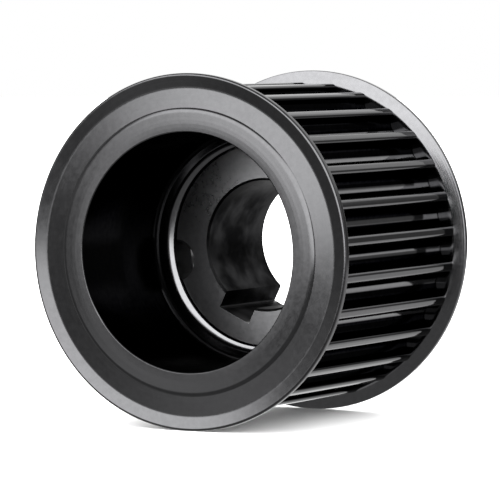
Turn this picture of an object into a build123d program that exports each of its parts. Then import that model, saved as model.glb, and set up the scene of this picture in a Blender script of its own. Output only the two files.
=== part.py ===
from build123d import *
from math import cos, pi, radians, sin, sqrt, tan
import os

# A timing belt pulley with two flanges, held on its shaft by a split taper bush.
# The axis runs along +Y and the origin is on it, half way along. The recessed front looks
# towards -Y. Angles are seen from the front, anticlockwise from +X. All sizes are millimetres.

# Belt teeth, round form
BELT_PITCH = 8.0
TOOTH_COUNT = 28
PITCH_LINE_OFFSET = 0.686
GROOVE_RADIUS = 2.7
GROOVE_DEPTH = 3.48
TIP_ROUND = 0.8
FIRST_GROOVE_ANGLE = -1.7

# Overall width, where the toothed width ends, and the spigots that carry the flanges
OVERALL_WIDTH = 60.0
FRONT_SHOULDER = 27.6
REAR_SHOULDER = 26.3
SPIGOT_RADIUS = 29.5
LIP_RADIUS = 30.15
LIP_ROLL_RADIUS = 29.85
LIP_ROUND = 1.6
LIP_EDGE_RADIUS = 30.3
LIP_CLEARANCE = 0.03
FACE_FLAT_RADIUS = 27.0
FACE_CROWN = 0.13
CROWN_BLEND = 35.0

# Pressed sheet flanges: a slightly coned middle band, and an outer band dished outwards
FLANGE_RADIUS = 37.5
FLANGE_SHEET = 1.5
FLANGE_BEND_RADIUS = 34.5
FLANGE_DISH = 0.64
FLANGE_CONE_ANGLE = 5.0
FLANGE_PLAY = 0.05
FLANGE_RIM_ROUND = 0.5
FLANGE_EDGE_BREAK = 0.2

# Front recess, whose floor falls away from the bush and curves into a steep cone
RECESS_RADIUS = 25.2
RECESS_FLOOR = 3.9
FLOOR_SLOPE = 12.0
FLOOR_WIDTH = 0.9
FLOOR_ROUND = 2.2
CONE_SLOPE = 55.0
RECESS_CORNER = 3.0
MOUTH_CHAMFER = 0.2
EDGE_BREAK = 0.2

# Taper bush
TAPER_ANGLE = 4.0
BUSH_LENGTH = 25.4
BUSH_LARGE_RADIUS = 23.75
TAPER_GAP = 0.15
BORE_RADIUS = 14.0
BORE_CHAMFER = 0.5
KEYWAY_WIDTH = 8.0
KEYWAY_DEPTH = 3.3
KEYWAY_ANGLE = -115.8
SPLIT_WIDTH = 2.0

# Screw holes along the joint of the bush and the hub, and their set screws
SCREW_CIRCLE_RADIUS = 22.2
SCREW_HOLE_RADIUS = 4.9
REMOVAL_ANGLE = -169.3
TIGHTENING_ANGLES = (REMOVAL_ANGLE + 90.0, REMOVAL_ANGLE - 90.0)
BUSH_POCKET_DEPTH = 16.9
HUB_THREAD_DEPTH = 22.0
HUB_REMOVAL_DEPTH = 18.0
SCREW_RADIUS = 4.75
SCREW_LENGTH = 16.0
SCREW_SETBACK = 0.8
SCREW_CHAMFER = 0.7
SOCKET_ACROSS_FLATS = 4.76
SOCKET_DEPTH = 6.5

# Worked out from the above
PITCH_RADIUS = BELT_PITCH * TOOTH_COUNT / pi / 2
TIP_RADIUS = PITCH_RADIUS - PITCH_LINE_OFFSET
ROOT_RADIUS = TIP_RADIUS - GROOVE_DEPTH
REAR = OVERALL_WIDTH / 2
BUSH_FRONT = REAR - BUSH_LENGTH
OVERCUT = 1.0


def turned(corners):
    """A solid turned about the Y axis from corners (radius, y, rounding)."""
    points = [(radius, y) for radius, y, rounding in corners]
    roundings = [rounding for radius, y, rounding in corners]
    outline = FilletPolyline(*points, radius=roundings, close=True)
    return revolve(make_face(outline), axis=Axis.Y, revolution_arc=360)


def around_axis(shape, angle):
    """The shape turned about the axis, from +X to an angle seen from the front."""
    return Rot(0, -angle, 0) * shape


def bar_along_axis(face, y_low, y_high):
    """A face drawn as seen from the front, made into a bar from y_low to y_high."""
    return Pos(0, y_high, 0) * extrude(Plane.XZ * face, amount=y_high - y_low)


def drilled(radius, y_low):
    """A cylinder on the screw circle at +X, open at the rear face."""
    circle = Pos(SCREW_CIRCLE_RADIUS, 0) * Circle(radius)
    return bar_along_axis(circle, y_low, REAR + OVERCUT)


def groove_face():
    """The gap between two teeth, at +Y of the sketch, running out past the tooth tips."""
    round_x = GROOVE_RADIUS + TIP_ROUND
    round_y = sqrt((TIP_RADIUS - TIP_ROUND) ** 2 - round_x**2)
    outwards = Vector(round_x, round_y).normalized()
    midway = (outwards + Vector(-1, 0)).normalized()
    centre = Vector(round_x, round_y)
    start = Vector(GROOVE_RADIUS, round_y)
    tip = centre + outwards * TIP_ROUND
    outside = tip + outwards * OVERCUT
    right = Line((GROOVE_RADIUS, ROOT_RADIUS + GROOVE_RADIUS), start)
    right += ThreePointArc(start, centre + midway * TIP_ROUND, tip)
    right += Line(tip, outside)
    left = mirror(right, about=Plane.YZ)
    floor = ThreePointArc(
        (-GROOVE_RADIUS, ROOT_RADIUS + GROOVE_RADIUS),
        (0, ROOT_RADIUS),
        (GROOVE_RADIUS, ROOT_RADIUS + GROOVE_RADIUS),
    )
    lid = Line(outside, (-outside.X, outside.Y))
    return make_face(right + left + floor + lid)


def toothed_section():
    """The toothed cylinder, without its ends or bore."""
    groove = groove_face()
    step = 360 / TOOTH_COUNT
    grooves = [Rot(0, 0, FIRST_GROOVE_ANGLE - 90 + i * step) * groove for i in range(TOOTH_COUNT)]
    return bar_along_axis(Circle(TIP_RADIUS) - grooves, -FRONT_SHOULDER, REAR_SHOULDER)


def cone_rise(radius):
    """How far the flange's middle band stands out at a radius, from its bend inwards."""
    return (FLANGE_BEND_RADIUS - radius) * tan(radians(FLANGE_CONE_ANGLE))


def spigot(shoulder):
    """The end beyond a shoulder: a coned seat and a spigot, its lip rolled over the flange."""
    flare = LIP_RADIUS - SPIGOT_RADIUS
    neck = shoulder + FLANGE_SHEET / 3

    def flange_face(radius):
        return shoulder + FLANGE_SHEET + cone_rise(radius) + LIP_CLEARANCE

    return turned(
        [
            (0, shoulder - OVERCUT, 0),
            (ROOT_RADIUS, shoulder - OVERCUT, 0),
            (ROOT_RADIUS, shoulder + cone_rise(ROOT_RADIUS), 0),
            (SPIGOT_RADIUS, shoulder + cone_rise(SPIGOT_RADIUS), 0),
            (SPIGOT_RADIUS, neck, 0),
            (LIP_RADIUS, neck + flare, 0),
            (LIP_RADIUS, flange_face(LIP_RADIUS), 0),
            (LIP_EDGE_RADIUS, flange_face(LIP_EDGE_RADIUS), 0),
            (LIP_ROLL_RADIUS, REAR - FACE_CROWN, LIP_ROUND),
            (FACE_FLAT_RADIUS, REAR, CROWN_BLEND),
            (0, REAR, 0),
        ]
    )


def taper_radius(y):
    """Radius of the bush's cone, without its edge breaks."""
    return BUSH_LARGE_RADIUS - (REAR - y) * tan(radians(TAPER_ANGLE))


def body_bore():
    """What is bored out of the body: the front recess, then the taper for the bush."""
    inner_break = RECESS_FLOOR + EDGE_BREAK
    outer_break = REAR - EDGE_BREAK
    floor_radius = taper_radius(inner_break) + TAPER_GAP + EDGE_BREAK
    cone_radius = floor_radius + FLOOR_WIDTH
    cone_y = RECESS_FLOOR - FLOOR_WIDTH * tan(radians(FLOOR_SLOPE))
    corner_y = cone_y - (RECESS_RADIUS - cone_radius) * tan(radians(CONE_SLOPE))
    rear_radius = taper_radius(outer_break) + TAPER_GAP
    past_mouth = RECESS_RADIUS + MOUTH_CHAMFER + OVERCUT
    return turned(
        [
            (0, -REAR - OVERCUT, 0),
            (past_mouth, -REAR - OVERCUT, 0),
            (RECESS_RADIUS, MOUTH_CHAMFER - REAR, 0),
            (RECESS_RADIUS, corner_y, RECESS_CORNER),
            (cone_radius, cone_y, FLOOR_ROUND),
            (floor_radius, RECESS_FLOOR, 0),
            (floor_radius - EDGE_BREAK, inner_break, 0),
            (rear_radius, outer_break, 0),
            (rear_radius + EDGE_BREAK + OVERCUT, REAR + OVERCUT, 0),
            (0, REAR + OVERCUT, 0),
        ]
    )


def pulley_body():
    front_end = mirror(spigot(FRONT_SHOULDER), about=Plane.XZ)
    body = toothed_section() + spigot(REAR_SHOULDER) + front_end - body_bore()
    for angle in TIGHTENING_ANGLES:
        body -= around_axis(drilled(SCREW_HOLE_RADIUS, REAR - HUB_THREAD_DEPTH), angle)
    return body - around_axis(drilled(SCREW_HOLE_RADIUS, REAR - HUB_REMOVAL_DEPTH), REMOVAL_ANGLE)


def flange(shoulder):
    """A sheet ring against a rear shoulder, bored and countersunk for the rolled lip."""
    bore = SPIGOT_RADIUS + FLANGE_PLAY
    throat = LIP_RADIUS + FLANGE_PLAY
    neck = shoulder + FLANGE_SHEET / 3 - FLANGE_PLAY
    face = shoulder + FLANGE_SHEET
    rim = face + FLANGE_DISH
    return turned(
        [
            (bore, shoulder + cone_rise(bore), 0),
            (bore, neck, 0),
            (throat, neck + throat - bore, 0),
            (throat, face + cone_rise(throat), 0),
            (FLANGE_BEND_RADIUS, face, FLANGE_SHEET),
            (FLANGE_RADIUS, rim, FLANGE_RIM_ROUND),
            (FLANGE_RADIUS, rim - FLANGE_SHEET, FLANGE_EDGE_BREAK),
            (FLANGE_BEND_RADIUS, shoulder, 2 * FLANGE_SHEET),
        ]
    )


def bush_blank():
    """The bush before its slots and holes."""
    front_break = BUSH_FRONT + EDGE_BREAK
    rear_break = REAR - EDGE_BREAK
    return turned(
        [
            (BORE_RADIUS + BORE_CHAMFER, BUSH_FRONT, 0),
            (taper_radius(BUSH_FRONT) - EDGE_BREAK, BUSH_FRONT, 0),
            (taper_radius(front_break), front_break, 0),
            (taper_radius(rear_break), rear_break, 0),
            (BUSH_LARGE_RADIUS - EDGE_BREAK, REAR, 0),
            (BORE_RADIUS + BORE_CHAMFER, REAR, 0),
            (BORE_RADIUS, REAR - BORE_CHAMFER, 0),
            (BORE_RADIUS, BUSH_FRONT + BORE_CHAMFER, 0),
        ]
    )


def slot(width, depth_radius, angle):
    """A slot of the given width from the axis out to depth_radius, right through the bush."""
    face = Pos(depth_radius / 2, 0) * Rectangle(depth_radius, width)
    return around_axis(bar_along_axis(face, BUSH_FRONT - OVERCUT, REAR + OVERCUT), angle)


def taper_bush():
    bush = bush_blank()
    bush -= slot(KEYWAY_WIDTH, BORE_RADIUS + KEYWAY_DEPTH, KEYWAY_ANGLE)
    bush -= slot(SPLIT_WIDTH, BUSH_LARGE_RADIUS + OVERCUT, KEYWAY_ANGLE + 180)
    for angle in TIGHTENING_ANGLES:
        bush -= around_axis(drilled(SCREW_HOLE_RADIUS, REAR - BUSH_POCKET_DEPTH), angle)
    return bush - around_axis(drilled(SCREW_HOLE_RADIUS, BUSH_FRONT - OVERCUT), REMOVAL_ANGLE)


def set_screw(angle):
    """A hexagon-socket set screw in its hole, a little below the rear face."""
    head = REAR - SCREW_SETBACK
    circle = Circle(SCREW_RADIUS)
    shank = bar_along_axis(circle, head - SCREW_LENGTH, head)
    shank = chamfer(shank.edges().filter_by(GeomType.CIRCLE), SCREW_CHAMFER)
    hexagon = RegularPolygon(SOCKET_ACROSS_FLATS / 2, 6, major_radius=False)
    shank -= bar_along_axis(hexagon, head - SOCKET_DEPTH, head + OVERCUT)
    return around_axis(Pos(SCREW_CIRCLE_RADIUS, 0, 0) * shank, angle)


def main():
    nodes = {
        "pulley_body": pulley_body(),
        "front_flange": mirror(flange(FRONT_SHOULDER), about=Plane.XZ),
        "rear_flange": flange(REAR_SHOULDER),
        "taper_bush": taper_bush(),
    }
    for number, angle in enumerate(TIGHTENING_ANGLES, start=1):
        nodes[f"set_screw_{number}"] = set_screw(angle)
    os.makedirs("parts", exist_ok=True)
    for name, shape in nodes.items():
        export_step(shape, f"parts/{name}.step")


main()
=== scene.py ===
import math
from collections import namedtuple

import bmesh
import bpy
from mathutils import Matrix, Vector


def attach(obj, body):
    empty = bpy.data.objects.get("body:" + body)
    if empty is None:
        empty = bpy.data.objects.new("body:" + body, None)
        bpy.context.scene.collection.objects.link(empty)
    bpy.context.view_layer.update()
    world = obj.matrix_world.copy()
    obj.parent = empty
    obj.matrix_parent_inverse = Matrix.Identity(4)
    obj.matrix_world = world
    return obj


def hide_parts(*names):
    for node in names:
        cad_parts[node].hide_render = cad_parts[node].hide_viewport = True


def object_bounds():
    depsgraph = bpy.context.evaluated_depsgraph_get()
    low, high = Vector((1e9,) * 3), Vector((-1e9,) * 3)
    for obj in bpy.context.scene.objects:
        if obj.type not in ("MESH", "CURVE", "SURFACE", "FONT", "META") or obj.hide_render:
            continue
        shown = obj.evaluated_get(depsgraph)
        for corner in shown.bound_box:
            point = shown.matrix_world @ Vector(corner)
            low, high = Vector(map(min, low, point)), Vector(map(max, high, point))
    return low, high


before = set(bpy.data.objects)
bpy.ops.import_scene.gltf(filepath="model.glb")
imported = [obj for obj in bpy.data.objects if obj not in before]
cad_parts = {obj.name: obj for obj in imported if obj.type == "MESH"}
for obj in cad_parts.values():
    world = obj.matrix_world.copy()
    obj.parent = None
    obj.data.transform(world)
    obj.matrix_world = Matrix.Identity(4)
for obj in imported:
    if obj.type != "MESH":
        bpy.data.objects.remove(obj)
CAD_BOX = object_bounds()

# A timing belt pulley on a taper bush. The axis runs along +Y, the recessed front looks
# towards -Y. Lengths in the tables below are millimetres, and angles are degrees seen from
# the front, anticlockwise from +X.
MM = 0.001



def mm(*lengths):
    """Millimetres as the metres that Blender works in."""
    return tuple(length * MM for length in lengths)


# Camera: where it stands round the object, and what it sees
AZIMUTH = math.radians(28.63)
ELEVATION = math.radians(3.17)
DISTANCE = 0.862
LENS = 288.0
SENSOR = 36.0
AIM_RIGHT = -0.95 * MM
AIM_UP = -0.9 * MM

# Studio light, by the x, y and z of the direction's unit vector. An edge is a pair of values
# between which the light comes up or goes away. The soft box leans: BOX_SLANT of z is added
# to x for its slanted left edge, and BOX_TILT of x is added to z for its low edge.
TENT_LIGHT = (0.38, 1.15)
TENT_EDGE = (-0.45, 0.3)
BOX_LIGHT = 6.3
BOX_SLANT = 0.8
BOX_SLANTED_EDGE = (-0.62, -0.35)
BOX_LEFT_EDGE = (-0.78, -0.56)
BOX_RIGHT_EDGE = (0.55, 0.7)
BOX_TILT = 0.05
BOX_LOW_EDGE = (-0.107, -0.027)
BOX_HIGH_EDGE = (0.6, 0.75)
BOX_BACK_EDGE = (-0.45, -0.3)
FLAG_DARKNESS = 0.8
FLAG_LEFT_EDGE = (0.2, 0.3)
FLAG_LOW_EDGE = (-0.16, -0.06)
FLAG_HIGH_EDGE = (0.2, 0.36)
FLAG_FRONT_EDGE = (0.3, 0.5)
LEAST_LIGHT = 0.05
LIGHT_ON_MATT = 3.5
LIGHT_IN_VIEW = 1.0

# Faint patches of light on the tent in front: across and height of the direction's unit
# vector, reach, and how much light each adds or takes away
GLOWS = (
    (-0.52, -0.125, 0.12, 1.2),
    (-0.42, -0.24, 0.2, 0.9),
    (-0.8, 0.12, 0.15, 0.6),
    (-0.42, -0.085, 0.09, -1.6),
)

# Floor
FLOOR_REACH = 4.0
FLOOR_SIDES = 128
FLOOR_TONE = 0.9

# Belt teeth
TOOTH_COUNT = 28
TIP_RADIUS = 34.965
GROOVE_RADIUS = 2.7
GROOVE_DEPTH = 3.48
TIP_ROUND = 0.8
FIRST_GROOVE_ANGLE = -1.7
ROOT_RADIUS = TIP_RADIUS - GROOVE_DEPTH
GROOVE_STEPS = 9
TIP_STEPS = 6
LAND_STEPS = 4

# Body
END = 30.0
FRONT_SHOULDER = 27.6
REAR_SHOULDER = 26.3
SPIGOT_RADIUS = 29.5
LIP_RADIUS = 30.15
LIP_ROLL_RADIUS = 29.85
LIP_ROUND = 1.6
LIP_EDGE_RADIUS = 30.3
LIP_CLEARANCE = 0.03
FACE_FLAT_RADIUS = 27.0
FACE_CROWN = 0.13
CROWN_BLEND = 35.0
MOUTH_ROUND = 0.1
SEAT_STEP = 0.1
RECESS_RADIUS = 25.2
RECESS_FLOOR = 3.9
FLOOR_SLOPE = 12.0
FLOOR_WIDTH = 0.9
FLOOR_ROUND = 2.2
CONE_SLOPE = 55.0
RECESS_CORNER = 3.0
EDGE_BREAK = 0.2

# Flanges
FLANGE_RADIUS = 37.5
FLANGE_SHEET = 1.5
FLANGE_BEND_RADIUS = 34.5
FLANGE_DISH = 0.64
FLANGE_CONE_ANGLE = 5.0
FLANGE_PLAY = 0.05
FLANGE_RIM_ROUND = 0.5
FLANGE_SIDES = 480

# Taper bush
BUSH_FRONT = 4.6
TAPER_ANGLE = 4.0
BUSH_LARGE_RADIUS = 23.75
TAPER_GAP = 0.15
BORE_RADIUS = 14.0
BORE_CHAMFER = 0.5
BUSH_EDGE_ROUND = 0.15
BUSH_SIDES = 360
KEYWAY_WIDTH = 8.0
KEYWAY_DEPTH = 3.3
KEYWAY_ANGLE = -115.8
SPLIT_WIDTH = 2.0

# Screw holes and set screws
SCREW_CIRCLE_RADIUS = 22.2
HOLE_RADIUS = 4.9
HOLE_SIDES = 96
OVERSHOOT = 1.0
REMOVAL_ANGLE = -169.3
TIGHTENING_ANGLES = (REMOVAL_ANGLE + 90.0, REMOVAL_ANGLE - 90.0)
BUSH_POCKET_DEPTH = 16.9
HUB_THREAD_DEPTH = 22.0
HUB_REMOVAL_DEPTH = 18.0
SCREW_RADIUS = 4.75
SCREW_LENGTH = 16.0
SCREW_HEAD = 29.2
SCREW_CHAMFER = 0.7
SOCKET_ACROSS_FLATS = 4.76
SOCKET_DEPTH = 6.5
CUP_MOUTH_RADIUS = 2.6
CUP_FLOOR_RADIUS = 0.6
CUP_DEPTH = 1.2
CUP_OVERSHOOT = 0.5
CUP_SIDES = 48

# Thread. Crest and flank are shares of half a pitch.
THREAD_PITCH = 1.5875
THREAD_DEPTH = 0.6
THREAD_CREST = 0.15
THREAD_FLANK = 0.7
THREAD_SIDES = 72
THREAD_STEPS = 12

# Meshes: the most that one step of a rounding turns, the least turn that shows as an edge,
# how close to a bend the extra ring of points lies that keeps a face flat in its shading, and
# the least run between two bends that gets such rings
ARC_STEP = 12.0
SHARP_ANGLE = 32.0
SUPPORT = 0.06
LEAST_RUN = 8 * SUPPORT

# Where one finish, painted shade or painted light goes over into the next, by radius
TEETH_FROM = mm(30.8, 31.2)
ROOT_TO = mm(31.5, 31.6)
LAND_FROM = mm(34.3, 34.8)
RECESS_TO = mm(25.22, 25.3)
BORE_TO = mm(17.5, 17.7)

# The same along the axis
WALL_TO = mm(-1.0, 1.5)
FLOOR_FROM = mm(2.0, 3.2)
REAR_FROM = mm(-1.0, 1.0)
BORE_FROM = mm(4.62, 4.75)
BORE_UNTIL = mm(29.8, 29.9)

# Tones, as the share of light that a finish mirrors. Where noted, a tone is painted shade or
# painted light.
BODY_TONE = 0.06
# The recess wall's low tone is painted shade in the recess.
WALL_SHADE_TONE = 0.016
# The recess floor's high tone is a painted highlight on its curved corner.
RECESS_FLOOR_HIGHLIGHT_TONE = 0.11
LAND_TONE = 0.065
ROOT_TONE = 0.09
FLANGE_TONE = 0.06
# The rear flange's higher tone is painted light on its inner face; it is the same pressing as the
# front one.
REAR_FLANGE_LIT_TONE = 0.1
BUSH_TONE = 0.13
# Painted shade in the bore, with blotches of random tone between the two values.
BORE_SHADE_TONES = (0.012, 0.045)
SCREW_TONE = 0.05
BLUE_TINT = 1.03

# Roughness of each finish
BODY_ROUGH = 0.16
TEETH_ROUGH = 0.08
RECESS_ROUGH = 0.16
FLANGE_ROUGH = 0.17
REAR_FLANGE_ROUGH = 0.14
BUSH_ROUGH = 0.3
BORE_ROUGH = 0.36
SCREW_ROUGH = 0.28

# How strongly a finish mirrors at a glancing angle, where 1 is all the light. The flanks of
# the grooves keep one share of both the land's tone and its glance, as painted shade in the
# grooves. The weaker glance of the recess wall and of the bore is painted shade too.
WALL_SHADE_GLANCE = 0.35
FLANK_SHADE_SHARE = 0.35
BORE_SHADE_GLANCE = 0.45

# How far turning marks stretch the highlights
BODY_STRETCH = 0.45
FLANGE_STRETCH = 0.3
BUSH_STRETCH = 0.4

Place = namedtuple("Place", "point x y z radius")


def add_camera():
    """A long lens, aimed a hair off the middle of the object."""
    sin_a, cos_a = math.sin(AZIMUTH), math.cos(AZIMUTH)
    sin_e, cos_e = math.sin(ELEVATION), math.cos(ELEVATION)
    right = Vector((cos_a, sin_a, 0))
    up = Vector((-sin_a * sin_e, cos_a * sin_e, cos_e))
    back = Vector((sin_a * cos_e, -cos_a * cos_e, sin_e))
    data = bpy.data.cameras.new("camera")
    data.lens = LENS
    data.sensor_width = SENSOR
    data.clip_start, data.clip_end = 0.05, 50
    camera = bpy.data.objects.new("camera", data)
    bpy.context.scene.collection.objects.link(camera)
    camera.location = back * DISTANCE + right * AIM_RIGHT + up * AIM_UP
    camera.rotation_mode = "QUATERNION"
    camera.rotation_quaternion = (-back).to_track_quat("-Z", "Y")
    bpy.context.scene.camera = camera


class Nodes:
    """A short way to write a node tree."""

    def __init__(self, tree):
        self.tree = tree
        self.tree.nodes.clear()

    def add(self, kind, **settings):
        node = self.tree.nodes.new(kind)
        for name, value in settings.items():
            setattr(node, name, value)
        return node

    def put(self, value, socket):
        if isinstance(value, bpy.types.NodeSocket):
            self.tree.links.new(value, socket)
        else:
            socket.default_value = value

    def math(self, operation, *values, clamp=False):
        node = self.add("ShaderNodeMath", operation=operation, use_clamp=clamp)
        for value, socket in zip(values, node.inputs):
            self.put(value, socket)
        return node.outputs[0]

    def ramp(self, value, start, end, low=0.0, high=1.0):
        """Low before start, high after end, smooth between them."""
        node = self.add("ShaderNodeMapRange", interpolation_type="SMOOTHSTEP")
        for item, socket in zip((value, start, end, low, high), node.inputs):
            self.put(item, socket)
        return node.outputs[0]

    def fall(self, value, start, end):
        """1 before start, 0 after end, smooth between them."""
        return self.ramp(value, start, end, 1.0, 0.0)

    def product(self, *values):
        result = values[0]
        for value in values[1:]:
            result = self.math("MULTIPLY", result, value)
        return result

    def total(self, *values):
        result = values[0]
        for value in values[1:]:
            result = self.math("ADD", result, value)
        return result

    def mix(self, factor, first, second):
        """First where factor is 0, second where it is 1."""
        return self.total(first, self.product(factor, self.math("SUBTRACT", second, first)))

    def axes(self, vector):
        node = self.add("ShaderNodeSeparateXYZ")
        self.put(vector, node.inputs[0])
        return node.outputs[0], node.outputs[1], node.outputs[2]

    def noise(self, where, scale, detail=2.0, rough=0.5, along=False):
        """Noise about 0.5 in the mean, through space or along one value such as the radius."""
        node = self.add("ShaderNodeTexNoise", noise_dimensions="1D" if along else "3D")
        self.put(where, node.inputs["W" if along else "Vector"])
        self.put(scale, node.inputs["Scale"])
        self.put(detail, node.inputs["Detail"])
        self.put(rough, node.inputs["Roughness"])
        return node.outputs[0]

    def combine(self, kind, first, second, third):
        node = self.add(kind)
        for value, socket in zip((first, second, third), node.inputs):
            self.put(value, socket)
        return node.outputs[0]


def add_studio():
    """A white tent, darker in front, with a soft box in front and a dark flag at the back."""
    world = bpy.data.worlds.new("studio")
    bpy.context.scene.world = world
    world.use_nodes = True
    n = Nodes(world.node_tree)
    x, y, z = n.axes(n.add("ShaderNodeTexCoord").outputs["Generated"])
    tent = n.ramp(y, *TENT_EDGE, *TENT_LIGHT)
    slanted = n.ramp(n.total(x, n.product(z, BOX_SLANT)), *BOX_SLANTED_EDGE)
    box_left = n.product(slanted, n.ramp(x, *BOX_LEFT_EDGE))
    box_right = n.fall(x, *BOX_RIGHT_EDGE)
    box_low = n.ramp(n.total(z, n.product(x, BOX_TILT)), *BOX_LOW_EDGE)
    box_high = n.fall(z, *BOX_HIGH_EDGE)
    box_front = n.fall(y, *BOX_BACK_EDGE)
    soft_box = n.product(BOX_LIGHT, box_left, box_right, box_low, box_high, box_front)
    for across, height, reach, light in GLOWS:
        away_x, away_z = n.math("SUBTRACT", x, across), n.math("SUBTRACT", z, height)
        away = n.math("SQRT", n.total(n.product(away_x, away_x), n.product(away_z, away_z)))
        glow = n.product(n.ramp(away, 0.0, reach, light, 0.0), box_front)
        soft_box = n.total(soft_box, glow)
    flag_right = n.ramp(x, *FLAG_LEFT_EDGE)
    flag_low = n.ramp(z, *FLAG_LOW_EDGE)
    flag_high = n.fall(z, *FLAG_HIGH_EDGE)
    flag_back = n.ramp(y, *FLAG_FRONT_EDGE)
    flag = n.product(FLAG_DARKNESS, flag_right, flag_low, flag_high, flag_back)
    shaded = n.product(tent, n.math("SUBTRACT", 1.0, flag))
    mirrored = n.math("MAXIMUM", n.total(shaded, soft_box), LEAST_LIGHT)
    rays = n.add("ShaderNodeLightPath")
    on_matt = n.mix(rays.outputs["Is Diffuse Ray"], mirrored, LIGHT_ON_MATT)
    strength = n.mix(rays.outputs["Is Camera Ray"], on_matt, LIGHT_IN_VIEW)
    background = n.add("ShaderNodeBackground")
    n.put((1, 1, 1, 1), background.inputs["Color"])
    n.put(strength, background.inputs["Strength"])
    output = n.add("ShaderNodeOutputWorld")
    n.put(background.outputs[0], output.inputs["Surface"])
    bpy.context.scene.view_settings.view_transform = "Standard"


def add_floor():
    """A plain pale floor under the flanges."""
    bpy.ops.mesh.primitive_circle_add(
        vertices=FLOOR_SIDES,
        radius=FLOOR_REACH,
        fill_type="NGON",
        location=(0, 0, CAD_BOX[0].z),
    )
    floor = bpy.context.object
    floor.name = "floor"
    material = bpy.data.materials.new("pale_floor")
    material.use_nodes = True
    shader = material.node_tree.nodes["Principled BSDF"]
    shader.inputs["Base Color"].default_value = (FLOOR_TONE, FLOOR_TONE, FLOOR_TONE, 1)
    shader.inputs["Roughness"].default_value = 0.9
    shader.inputs["Specular IOR Level"].default_value = 0.0
    floor.data.materials.append(material)
    floor.visible_glossy = False


def arc_points(centre, radius, start, end, count):
    """Points (x, y) on an arc, from the start angle to the end angle in radians."""
    points = []
    for i in range(count + 1):
        angle = start + (end - start) * i / count
        points.append((centre[0] + radius * math.cos(angle), centre[1] + radius * math.sin(angle)))
    return points


def rounded(corners):
    """The outline through corners (x, y, rounding), each rounding drawn as a fine arc."""
    outline = []
    for i, (x, y, rounding) in enumerate(corners):
        here = Vector((x, y))
        if not rounding:
            outline.append((x, y))
            continue
        before = (Vector(corners[i - 1][:2]) - here).normalized()
        after = (Vector(corners[(i + 1) % len(corners)][:2]) - here).normalized()
        half = before.angle(after) / 2
        centre = here + (before + after).normalized() * rounding / math.sin(half)
        first = here + before * rounding / math.tan(half) - centre
        last = here + after * rounding / math.tan(half) - centre
        start = math.atan2(first.y, first.x)
        turn = math.atan2(last.y, last.x) - start
        turn = (turn + math.pi) % (2 * math.pi) - math.pi
        count = max(2, math.ceil(abs(turn) / math.radians(ARC_STEP)))
        outline += arc_points(centre, rounding, start, start + turn, count)
    return outline


def supported(outline):
    """The outline with a point close to each end of its long runs, which keeps them crisp."""
    result = []
    for i, point in enumerate(outline):
        result.append(point)
        here, after = Vector(point), Vector(outline[(i + 1) % len(outline)])
        run = (after - here).length
        if run > LEAST_RUN:
            result.append(tuple(here.lerp(after, SUPPORT / run)))
            result.append(tuple(after.lerp(here, SUPPORT / run)))
    return result


def new_object(name, verts, faces):
    """A mesh object from points in millimetres."""
    mesh = bpy.data.meshes.new(name)
    mesh.from_pydata([tuple(value * MM for value in vert) for vert in verts], [], faces)
    mesh.validate()
    mesh.update()
    piece = bpy.data.objects.new(name, mesh)
    bpy.context.scene.collection.objects.link(piece)
    return piece


def ring(radius, y, angles):
    return [(radius * math.cos(a), y, radius * math.sin(a)) for a in angles]


def skin(rings, closed):
    """Faces between rings of equal length, joined end to end or capped."""
    count = len(rings[0])
    verts = [vert for one in rings for vert in one]
    faces = []
    for i in range(len(rings) if closed else len(rings) - 1):
        low, high = i * count, (i + 1) % len(rings) * count
        for j in range(count):
            k = (j + 1) % count
            faces.append((low + j, low + k, high + k, high + j))
    if not closed:
        faces.append(tuple(reversed(range(count))))
        faces.append(tuple(range(len(verts) - count, len(verts))))
    return verts, faces


def even_angles(count):
    return [math.tau * i / count for i in range(count)]


def turned(name, corners, count):
    """A ring turned about the axis from corners (radius, y, rounding)."""
    angles = even_angles(count)
    rings = [ring(radius, y, angles) for radius, y in supported(rounded(corners))]
    return new_object(name, *skin(rings, closed=True))


def shifted(piece, offset_radius, angle):
    """Moves a mesh that is built round the axis out to a radius, at an angle in degrees."""
    turn = math.radians(angle)
    offset = Vector((math.cos(turn), 0, math.sin(turn))) * offset_radius * MM
    for vert in piece.data.vertices:
        vert.co += offset
    return piece


def threaded_bar(name, radius, low, high, chamfer=0.0):
    """A closed bar with an outside thread, whose phase depends on y alone."""
    angles = even_angles(THREAD_SIDES)
    steps = math.ceil((high - low) / THREAD_PITCH * THREAD_STEPS)
    rings = []
    for i in range(steps + 1):
        y = low + (high - low) * i / steps
        lead = radius - chamfer + min(y - low, high - y)
        points = []
        for a in angles:
            phase = (y / THREAD_PITCH - a / math.tau) % 1.0
            slope = (abs(phase - 0.5) * 2 - THREAD_CREST) / THREAD_FLANK
            depth = THREAD_DEPTH * min(1.0, max(0.0, slope))
            here = radius - depth
            if chamfer:
                here = min(here, lead)
            points.append((here * math.cos(a), y, here * math.sin(a)))
        rings.append(points)
    return new_object(name, *skin(rings, closed=False))


def plain_bar(name, low_radius, high_radius, low, high, sides):
    angles = even_angles(sides)
    ends = [ring(low_radius, low, angles), ring(high_radius, high, angles)]
    return new_object(name, *skin(ends, closed=False))


def hole(low, high, angle, threaded):
    """A cutter for one screw hole."""
    if threaded:
        bar = threaded_bar("cutter", HOLE_RADIUS, low, high)
    else:
        bar = plain_bar("cutter", HOLE_RADIUS, HOLE_RADIUS, low, high, HOLE_SIDES)
    return shifted(bar, SCREW_CIRCLE_RADIUS, angle)


def box_bar(name, reach, width, low, high, angle):
    """A box from the axis out to reach, turned to an angle."""
    turn = math.radians(angle)
    along = Vector((math.cos(turn), 0, math.sin(turn)))
    across = Vector((-math.sin(turn), 0, math.cos(turn))) * width / 2
    corners = [-across, along * reach - across, along * reach + across, across]
    rings = [[tuple(c + Vector((0, y, 0))) for c in corners] for y in (low, high)]
    return new_object(name, *skin(rings, closed=False))


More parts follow.
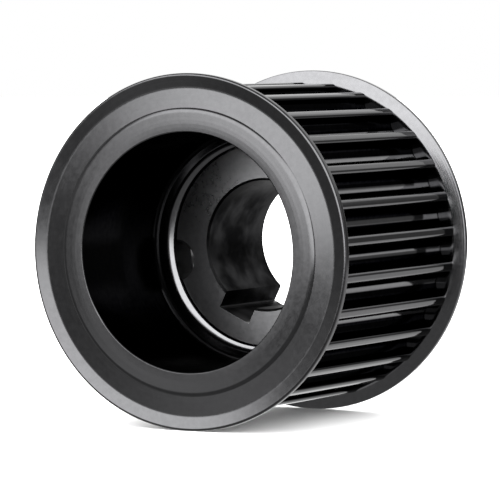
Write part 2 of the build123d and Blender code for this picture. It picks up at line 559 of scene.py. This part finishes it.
def outwards(piece):
    """Points every face out of a closed mesh."""
    mesh = bmesh.new()
    mesh.from_mesh(piece.data)
    bmesh.ops.recalc_face_normals(mesh, faces=mesh.faces)
    mesh.to_mesh(piece.data)
    mesh.free()


def cut(piece, cutters):
    """Takes the cutters out of the piece, and removes them."""
    outwards(piece)
    for cutter in cutters:
        outwards(cutter)
        modifier = piece.modifiers.new("cut", "BOOLEAN")
        modifier.operation = "DIFFERENCE"
        modifier.solver = "MANIFOLD"
        modifier.object = cutter
    bpy.context.view_layer.update()
    seen = piece.evaluated_get(bpy.context.evaluated_depsgraph_get())
    mesh = bpy.data.meshes.new_from_object(seen)
    old = piece.data
    piece.modifiers.clear()
    piece.data = mesh
    bpy.data.meshes.remove(old)
    for cutter in cutters:
        bpy.data.objects.remove(cutter)


def smooth(piece):
    """Smooth shading, broken at real edges."""
    piece.data.polygons.foreach_set("use_smooth", [True] * len(piece.data.polygons))
    piece.data.set_sharp_from_angle(angle=math.radians(SHARP_ANGLE))


def tooth_outline():
    """One turn of the belt teeth, as points (radius, angle) anticlockwise from the front."""
    round_x = GROOVE_RADIUS + TIP_ROUND
    round_y = math.sqrt((TIP_RADIUS - TIP_ROUND) ** 2 - round_x**2)
    lean = math.atan2(round_x, round_y)
    bottom = (0, ROOT_RADIUS + GROOVE_RADIUS)
    floor = arc_points(bottom, GROOVE_RADIUS, -math.pi / 2, 0, GROOVE_STEPS)
    tip = arc_points((round_x, round_y), TIP_ROUND, math.pi, math.pi / 2 - lean, TIP_STEPS)
    half = [(math.atan2(x, y), math.hypot(x, y)) for x, y in floor + tip]
    pitch = math.tau / TOOTH_COUNT
    edge = half[-1][0]
    width = pitch - 2 * edge
    land = [(edge + width * i / LAND_STEPS, TIP_RADIUS) for i in range(1, LAND_STEPS)]
    groove = [(-angle, radius) for angle, radius in reversed(half)] + half[1:] + land
    outline = []
    for i in range(TOOTH_COUNT):
        start = math.radians(FIRST_GROOVE_ANGLE) + i * pitch
        outline += [(radius, start + angle) for angle, radius in groove]
    return outline


def cone_rise(radius):
    """How far the flange's middle band stands out at a radius."""
    return (FLANGE_BEND_RADIUS - radius) * math.tan(math.radians(FLANGE_CONE_ANGLE))


def taper_radius(y):
    return BUSH_LARGE_RADIUS - (END - y) * math.tan(math.radians(TAPER_ANGLE))


def end_corners(shoulder):
    """One end of the body from its mouth to the tooth ends, with y growing outwards."""
    neck = shoulder + FLANGE_SHEET / 3
    face = shoulder + FLANGE_SHEET + LIP_CLEARANCE
    seat = ROOT_RADIUS - SEAT_STEP
    return [
        (RECESS_RADIUS + EDGE_BREAK, END, MOUTH_ROUND),
        (FACE_FLAT_RADIUS, END, CROWN_BLEND),
        (LIP_ROLL_RADIUS, END - FACE_CROWN, LIP_ROUND),
        (LIP_EDGE_RADIUS, face + cone_rise(LIP_EDGE_RADIUS), 0),
        (LIP_RADIUS, face + cone_rise(LIP_RADIUS), 0),
        (LIP_RADIUS, neck + LIP_RADIUS - SPIGOT_RADIUS, 0),
        (SPIGOT_RADIUS, neck, 0),
        (SPIGOT_RADIUS, shoulder + cone_rise(SPIGOT_RADIUS), 0),
        (seat, shoulder + cone_rise(seat), 0),
        (seat, shoulder, 0),
    ]


def inner_corners():
    """The taper and the recess, from the rear face to the front mouth."""
    inner_break = RECESS_FLOOR + EDGE_BREAK
    outer_break = END - EDGE_BREAK
    floor_radius = taper_radius(inner_break) + TAPER_GAP + EDGE_BREAK
    cone_radius = floor_radius + FLOOR_WIDTH
    cone_y = RECESS_FLOOR - FLOOR_WIDTH * math.tan(math.radians(FLOOR_SLOPE))
    drop = (RECESS_RADIUS - cone_radius) * math.tan(math.radians(CONE_SLOPE))
    rear_radius = taper_radius(outer_break) + TAPER_GAP
    return [
        (rear_radius + EDGE_BREAK, END, 0),
        (rear_radius, outer_break, 0),
        (floor_radius - EDGE_BREAK, inner_break, 0),
        (floor_radius, RECESS_FLOOR, 0),
        (cone_radius, cone_y, FLOOR_ROUND),
        (RECESS_RADIUS, cone_y - drop, RECESS_CORNER),
        (RECESS_RADIUS, EDGE_BREAK - END, MOUTH_ROUND),
    ]


def body_mesh():
    """The toothed body, as rings that all share the angles of the tooth outline."""
    outline = tooth_outline()
    angles = [angle for radius, angle in outline]
    front = [(radius, -y, rounding) for radius, y, rounding in end_corners(FRONT_SHOULDER)]
    rear = list(reversed(end_corners(REAR_SHOULDER)))
    whole = rounded(front + [(ROOT_RADIUS, 0, 0)] + rear + inner_corners())
    middle = whole.index((ROOT_RADIUS, 0))
    sides = supported(whole[middle + 1:] + whole[:middle])
    rings = [ring(radius, y, angles) for radius, y in sides[:-2]]
    for y in (-FRONT_SHOULDER, REAR_SHOULDER):
        rings.append([(r * math.cos(a), y, r * math.sin(a)) for r, a in outline])
    piece = new_object("toothed_body", *skin(rings, closed=True))
    high = END + OVERSHOOT
    cutters = [hole(END - HUB_THREAD_DEPTH, high, angle, True) for angle in TIGHTENING_ANGLES]
    cutters.append(hole(END - HUB_REMOVAL_DEPTH, high, REMOVAL_ANGLE, False))
    cut(piece, cutters)
    return piece


def flange_mesh(name, shoulder, side):
    """A sheet flange, at the rear for side 1 and at the front for side -1."""
    bore = SPIGOT_RADIUS + FLANGE_PLAY
    throat = LIP_RADIUS + FLANGE_PLAY
    neck = shoulder + FLANGE_SHEET / 3 - FLANGE_PLAY
    face = shoulder + FLANGE_SHEET
    rim = face + FLANGE_DISH
    corners = [
        (bore, shoulder + cone_rise(bore), 0),
        (bore, neck, 0),
        (throat, neck + throat - bore, 0),
        (throat, face + cone_rise(throat), 0),
        (FLANGE_BEND_RADIUS, face, FLANGE_SHEET),
        (FLANGE_RADIUS, rim, FLANGE_RIM_ROUND),
        (FLANGE_RADIUS, rim - FLANGE_SHEET, EDGE_BREAK),
        (FLANGE_BEND_RADIUS, shoulder, 2 * FLANGE_SHEET),
    ]
    placed = [(radius, side * y, rounding) for radius, y, rounding in corners]
    piece = turned(name, placed, FLANGE_SIDES)
    outwards(piece)
    return piece


def bush_mesh():
    """The split bush, with its keyway and the bush's halves of the screw holes."""
    piece = turned(
        "split_bush",
        [
            (BORE_RADIUS + BORE_CHAMFER, BUSH_FRONT, 0),
            (taper_radius(BUSH_FRONT), BUSH_FRONT, BUSH_EDGE_ROUND),
            (BUSH_LARGE_RADIUS, END, BUSH_EDGE_ROUND),
            (BORE_RADIUS + BORE_CHAMFER, END, 0),
            (BORE_RADIUS, END - BORE_CHAMFER, 0),
            (BORE_RADIUS, BUSH_FRONT + BORE_CHAMFER, 0),
        ],
        BUSH_SIDES,
    )
    low, high = BUSH_FRONT - OVERSHOOT, END + OVERSHOOT
    keyway_reach, split_reach = BORE_RADIUS + KEYWAY_DEPTH, BUSH_LARGE_RADIUS + OVERSHOOT
    cutters = [
        box_bar("cutter", keyway_reach, KEYWAY_WIDTH, low, high, KEYWAY_ANGLE),
        box_bar("cutter", split_reach, SPLIT_WIDTH, low, high, KEYWAY_ANGLE + 180),
    ]
    cutters += [hole(END - BUSH_POCKET_DEPTH, high, angle, False) for angle in TIGHTENING_ANGLES]
    cutters.append(hole(low, high, REMOVAL_ANGLE, True))
    cut(piece, cutters)
    return piece


def screw_mesh(name, angle):
    """A threaded set screw with a hexagon socket and a cup point."""
    low = SCREW_HEAD - SCREW_LENGTH
    piece = threaded_bar(name, SCREW_RADIUS, low, SCREW_HEAD, SCREW_CHAMFER)
    corner = SOCKET_ACROSS_FLATS / math.sqrt(3)
    floor, top = SCREW_HEAD - SOCKET_DEPTH, SCREW_HEAD + OVERSHOOT
    socket = plain_bar("cutter", corner, corner, floor, top, sides=6)
    mouth, bottom = low - CUP_OVERSHOOT, low + CUP_DEPTH
    cup = plain_bar("cutter", CUP_MOUTH_RADIUS, CUP_FLOOR_RADIUS, mouth, bottom, CUP_SIDES)
    cut(piece, [socket, cup])
    return shifted(piece, SCREW_CIRCLE_RADIUS, angle)


def steel(name, tone, rough, paint):
    """A dark oxidised metal. paint gives its tone, roughness, height, the stretch of its
    highlights, and how strongly it mirrors at a glancing angle."""
    material = bpy.data.materials.new(name)
    material.use_nodes = True
    n = Nodes(material.node_tree)
    point = n.add("ShaderNodeTexCoord").outputs["Object"]
    x, y, z = n.axes(point)
    radius = n.math("SQRT", n.total(n.product(x, x), n.product(z, z)))
    smudge = n.ramp(n.noise(point, 45, 4), 0.3, 0.7, -1.0, 1.0)
    speck = n.ramp(n.noise(point, 900, 3, 0.6), 0.3, 0.7, -1.0, 1.0)
    at = Place(point, x, y, z, radius)
    level, roughness, height, spread, edge = paint(n, at, tone, rough)
    level = n.product(level, n.total(1.0, n.product(smudge, 0.03), n.product(speck, 0.06)))
    roughness = n.product(roughness, n.total(1.0, n.product(smudge, 0.06), n.product(speck, 0.08)))
    blue = n.product(level, BLUE_TINT)
    colour = n.combine("ShaderNodeCombineColor", level, level, blue)
    shader = n.add("ShaderNodeBsdfPrincipled")
    shader.inputs["Metallic"].default_value = 1.0
    n.put(colour, shader.inputs["Base Color"])
    n.put(roughness, shader.inputs["Roughness"])
    n.put(spread, shader.inputs["Anisotropic"])
    glance = n.combine("ShaderNodeCombineColor", edge, edge, edge)
    n.put(glance, shader.inputs["Specular Tint"])
    tangent = n.add("ShaderNodeTangent", direction_type="RADIAL", axis="Y")
    n.put(tangent.outputs[0], shader.inputs["Tangent"])
    bump = n.add("ShaderNodeBump")
    bump.inputs["Strength"].default_value = 1.0
    bump.inputs["Distance"].default_value = 0.001 * MM
    n.put(height, bump.inputs["Height"])
    n.put(bump.outputs[0], shader.inputs["Normal"])
    output = n.add("ShaderNodeOutputMaterial")
    n.put(shader.outputs[0], output.inputs["Surface"])
    return material


def turning_marks(n, radius, y, fine, coarse):
    """Height in thousandths of a millimetre of the marks that a lathe leaves."""
    along = n.total(radius, n.product(y, 0.83))
    close = n.product(n.noise(along, 9000, along=True), fine)
    wide = n.product(n.noise(along, 1600, along=True), coarse)
    return n.total(close, wide)


def paint_body(n, at, tone, rough):
    turned_height = turning_marks(n, at.radius, at.y, 1.0, 4.0)
    feed = n.product(n.noise(at.y, 700, along=True), 5.0)
    x, y, z = n.product(at.x, 4.0), n.product(at.y, 0.25), n.product(at.z, 4.0)
    ripple = n.product(n.noise(n.combine("ShaderNodeCombineXYZ", x, y, z), 400, 3), 5.0)
    deep = n.product(n.noise(at.point, 260), 7.0)
    on_teeth = n.ramp(at.radius, *TEETH_FROM)
    in_recess = n.fall(at.radius, *RECESS_TO)
    # Painted shade: the recess wall gets a darker tone and a weaker glance.
    shaded_wall = n.product(in_recess, n.fall(at.y, *WALL_TO))
    # Painted highlight: the recess floor gets a higher tone, which brightens its curved corner.
    highlit_floor = n.product(in_recess, n.ramp(at.y, *FLOOR_FROM))
    # Painted shade in the grooves: the flanks keep only a share of the land's tone and glance.
    flank_shade_factor = n.ramp(at.radius, *LAND_FROM, FLANK_SHADE_SHARE, 1.0)
    on_root = n.fall(at.radius, *ROOT_TO)
    height = n.mix(on_teeth, turned_height, n.total(feed, ripple, deep))
    roughness = n.mix(on_teeth, rough, TEETH_ROUGH)
    roughness = n.mix(in_recess, roughness, RECESS_ROUGH)
    level = n.mix(highlit_floor, n.mix(shaded_wall, tone, WALL_SHADE_TONE), RECESS_FLOOR_HIGHLIGHT_TONE)
    teeth_level = n.total(n.product(flank_shade_factor, LAND_TONE), n.product(on_root, ROOT_TONE))
    level = n.mix(on_teeth, level, teeth_level)
    teeth_edge = n.math("MAXIMUM", flank_shade_factor, on_root)
    edge = n.mix(on_teeth, n.mix(shaded_wall, 1.0, WALL_SHADE_GLANCE), teeth_edge)
    return level, roughness, height, n.mix(on_teeth, BODY_STRETCH, 0.0), edge


def paint_flange(n, at, tone, rough):
    marks = turning_marks(n, at.radius, n.product(at.y, 0.2), 0.6, 3.0)
    waves = n.product(n.noise(at.point, 60), 6.0)
    # Painted light: the rear flange gets a lighter tone than the front one.
    lit_rear = n.ramp(at.y, *REAR_FROM)
    level = n.mix(lit_rear, tone, REAR_FLANGE_LIT_TONE)
    roughness = n.mix(lit_rear, rough, REAR_FLANGE_ROUGH)
    return level, roughness, n.total(marks, waves), FLANGE_STRETCH, 1.0


def paint_bush(n, at, tone, rough):
    height = turning_marks(n, at.radius, at.y, 1.0, 3.0)
    between_ends = n.product(n.ramp(at.y, *BORE_FROM), n.fall(at.y, *BORE_UNTIL))
    # Painted shade inside the bore: a much darker tone than the bush, in blotches of random tone,
    # and a weaker glance.
    shaded_bore = n.product(n.fall(at.radius, *BORE_TO), between_ends)
    bore_shade_blotches = n.ramp(n.noise(at.point, 90, 3, 0.6), 0.4, 0.66, *BORE_SHADE_TONES)
    level = n.mix(shaded_bore, tone, bore_shade_blotches)
    roughness = n.mix(shaded_bore, rough, BORE_ROUGH)
    return level, roughness, height, BUSH_STRETCH, n.mix(shaded_bore, 1.0, BORE_SHADE_GLANCE)


def paint_screw(n, at, tone, rough):
    return tone, rough, n.product(n.noise(at.point, 2200, 3), 4.0), 0.0, 1.0


def dress(piece, body, node, material):
    """Finishes a new piece: it rides on a body and stands for one CAD node."""
    piece.data.materials.clear()
    piece.data.materials.append(material)
    smooth(piece)
    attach(piece, body)
    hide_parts(node)


add_camera()
add_studio()
add_floor()
body_steel = steel("body_steel", BODY_TONE, BODY_ROUGH, paint_body)
flange_steel = steel("flange_steel", FLANGE_TONE, FLANGE_ROUGH, paint_flange)
bush_iron = steel("bush_iron", BUSH_TONE, BUSH_ROUGH, paint_bush)
screw_steel = steel("screw_steel", SCREW_TONE, SCREW_ROUGH, paint_screw)
dress(body_mesh(), "hub", "pulley_body", body_steel)
front = flange_mesh("front_ring", FRONT_SHOULDER, -1)
dress(front, "hub", "front_flange", flange_steel)
rear = flange_mesh("rear_ring", REAR_SHOULDER, 1)
dress(rear, "hub", "rear_flange", flange_steel)
dress(bush_mesh(), "bush", "taper_bush", bush_iron)
for number, angle in enumerate(TIGHTENING_ANGLES, start=1):
    screw = screw_mesh(f"threaded_screw_{number}", angle)
    dress(screw, f"screw_{number}", f"set_screw_{number}", screw_steel)
